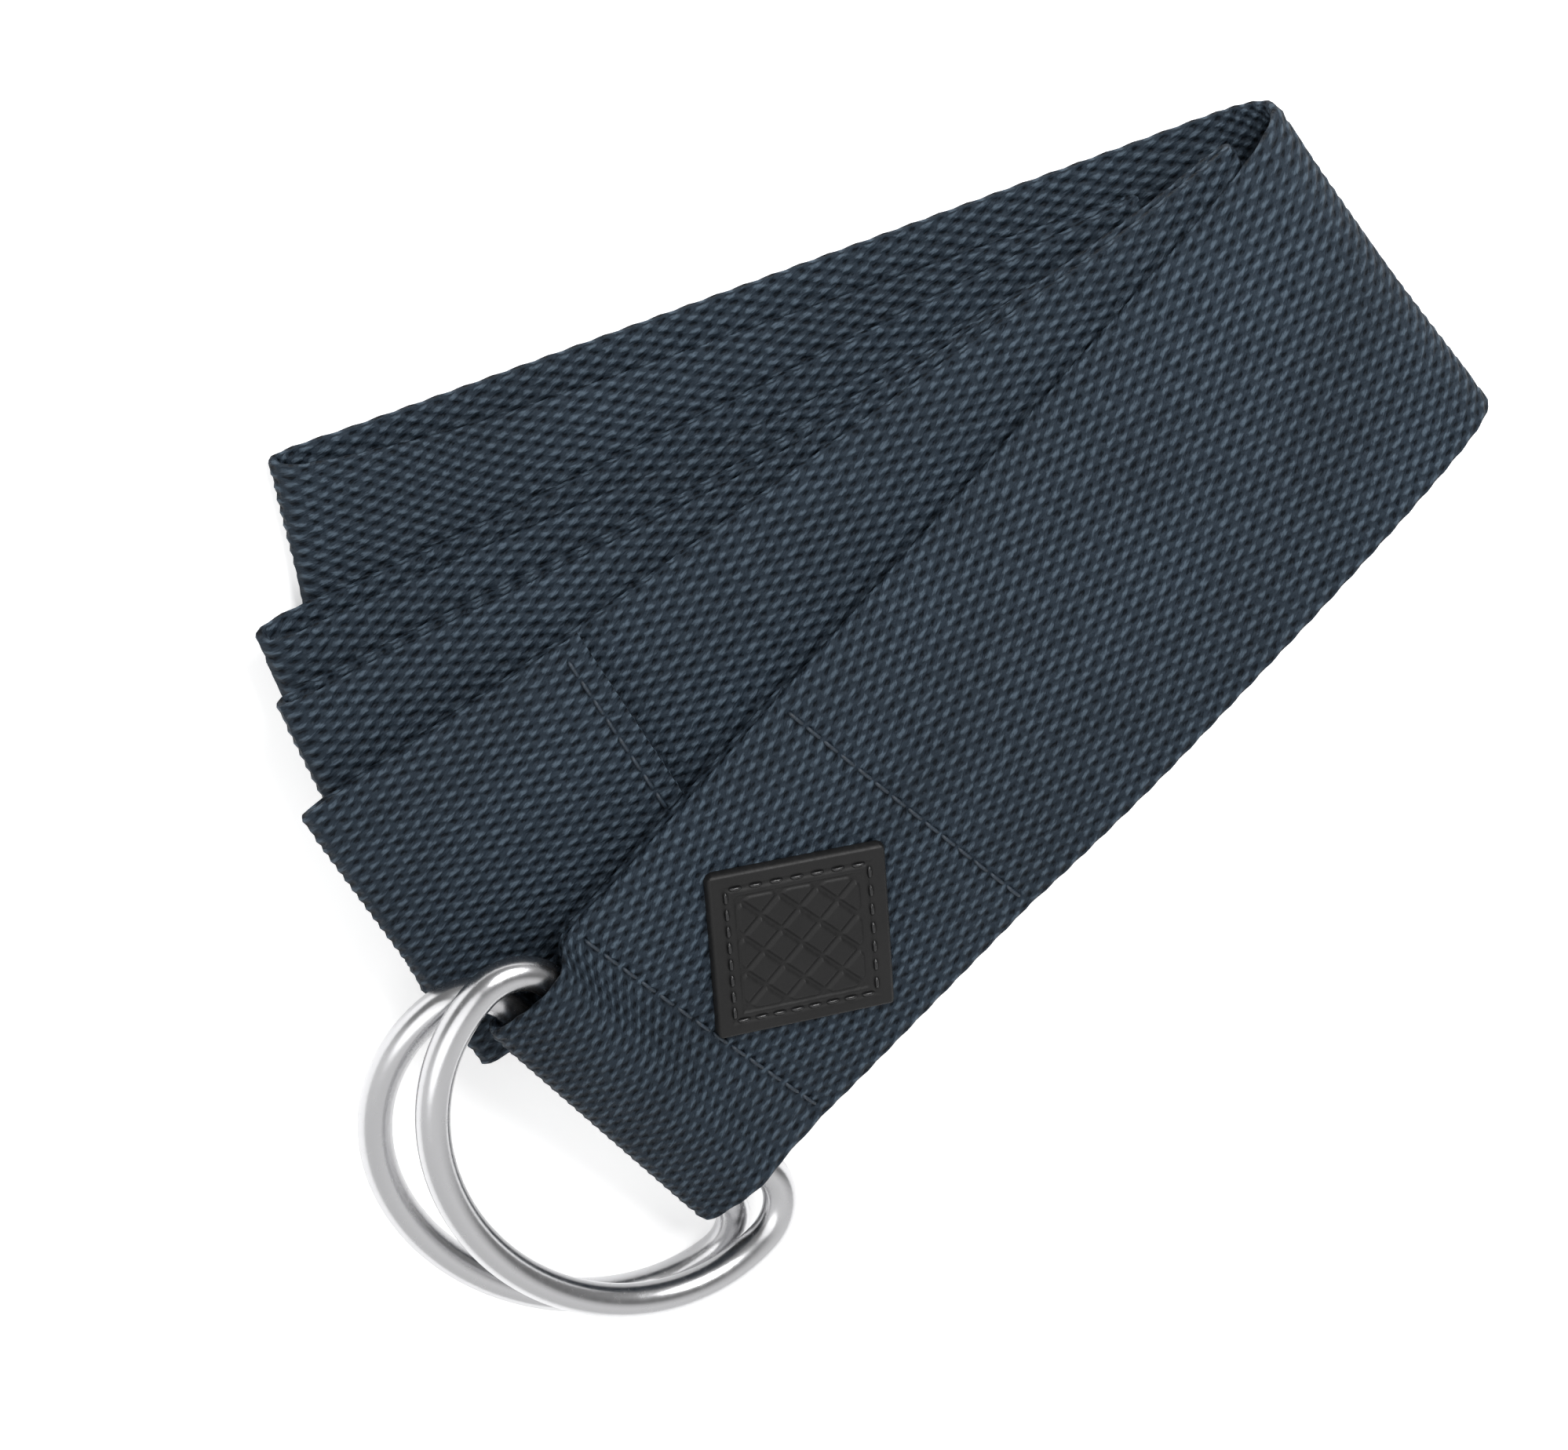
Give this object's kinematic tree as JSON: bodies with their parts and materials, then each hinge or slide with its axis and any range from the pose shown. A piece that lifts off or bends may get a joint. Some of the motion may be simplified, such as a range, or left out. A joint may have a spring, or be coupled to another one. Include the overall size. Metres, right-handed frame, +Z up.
{
  "type": "stretching strap",
  "caption": "Folded flat webbing strap for physiotherapy stretches, with D-rings in a stitched end loop and a square label patch.",
  "frame": {"origin": "on the table under the middle of the folded bundle's bounding box", "axes": "+X along the top leg of the strap away from the D-rings, +Z up from the table"},
  "size_m": [0.1555, 0.1014, 0.0219],
  "materials": {
    "webbing": "coarse plain weave, navy slate",
    "steel": "polished round wire",
    "patch": "charcoal, embossed and satin",
    "thread": "twisted sewing thread"
  },
  "bodies": {
    "bundle": {"folded_webbing": "webbing", "outer_fold": "webbing", "hem_stitching": "thread"},
    "ring_end": {"ring_leg": "webbing", "label_patch": "patch", "patch_stitching": "thread", "ring_seam_stitching": "thread", "tail_seam_stitching": "thread"},
    "front_ring": {"d_ring_front": "steel"},
    "rear_ring": {"d_ring_rear": "steel"}
  },
  "joints": [
    {"name": "ring_leg_unfold", "type": "hinge", "parent": "bundle", "child": "ring_end", "pos_m": [0.0678, -0.0268, 0.00544], "axis": [0.2379, 0.9713, 0], "range_deg": [0, 95], "deforming": ["outer_fold"]},
    {"name": "front_ring_swing", "type": "hinge", "parent": "ring_end", "child": "front_ring", "pos_m": [-0.0445, -0.0249, 0.0125], "axis": [0.1016, 0.9666, 0.2351], "range_deg": [0, 100]},
    {"name": "rear_ring_swing", "type": "hinge", "parent": "ring_end", "child": "rear_ring", "pos_m": [-0.0499, -0.0238, 0.0102], "axis": [0.1131, 0.9628, 0.2453], "range_deg": [0, 100]}
  ],
  "couplings": [
    {"joint": "rear_ring_swing", "follows": "front_ring_swing", "ratio": 1}
  ]
}
